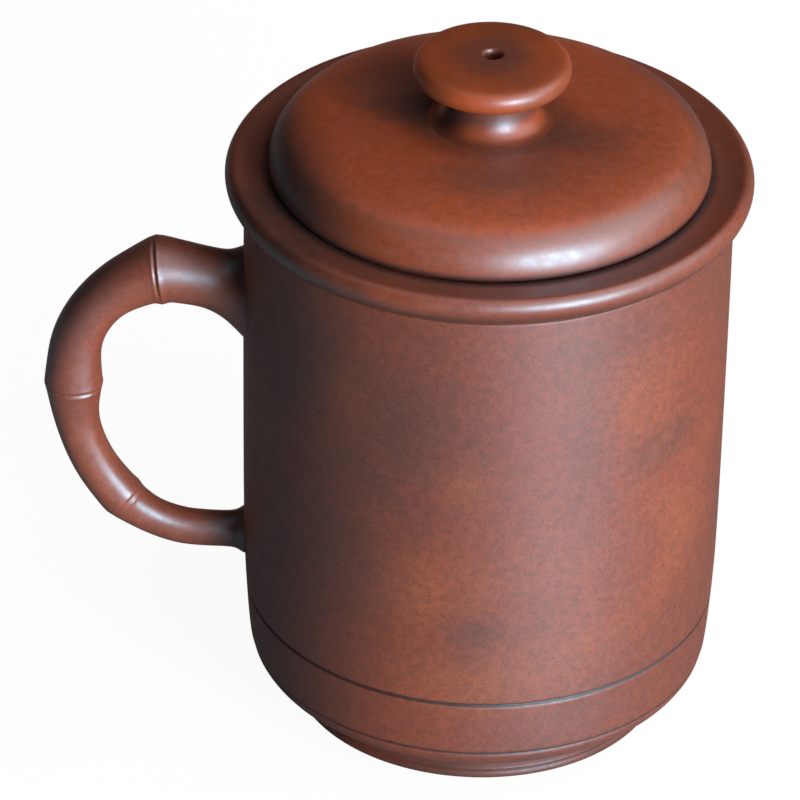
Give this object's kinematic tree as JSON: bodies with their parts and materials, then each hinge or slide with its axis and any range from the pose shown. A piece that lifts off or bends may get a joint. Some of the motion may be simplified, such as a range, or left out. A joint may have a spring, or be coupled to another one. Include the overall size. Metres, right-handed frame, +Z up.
{
  "type": "lidded tea cup",
  "caption": "Tall unglazed red clay tea cup with a bamboo-shaped side handle and a loose domed lid with a vented mushroom knob.",
  "frame": {"origin": "on the cup's axis, in the plane that the foot ring stands on", "axes": "+Z up along the cup's axis; the handle stands out towards -X; +Y is to the far side as the picture sees it"},
  "size_m": [0.1292, 0.096, 0.1348],
  "materials": {
    "cup_clay": "burnished unglazed red-brown stoneware, satin",
    "handle_clay": "burnished unglazed red-brown stoneware, satin",
    "lid_clay": "burnished unglazed orange-brown stoneware, satin"
  },
  "bodies": {
    "cup": {"cup_wall": "cup_clay", "base_disc": "cup_clay", "foot_ring": "cup_clay", "mouth_ring": "cup_clay", "handle": "handle_clay"},
    "lid": {"lid_dome": "lid_clay", "lid_flange": "lid_clay", "knob": "lid_clay"}
  },
  "joints": [
    {"name": "lid_lift", "type": "slide", "parent": "cup", "child": "lid", "axis": [0, 0, 1], "range_m": [0, 0.1]}
  ]
}
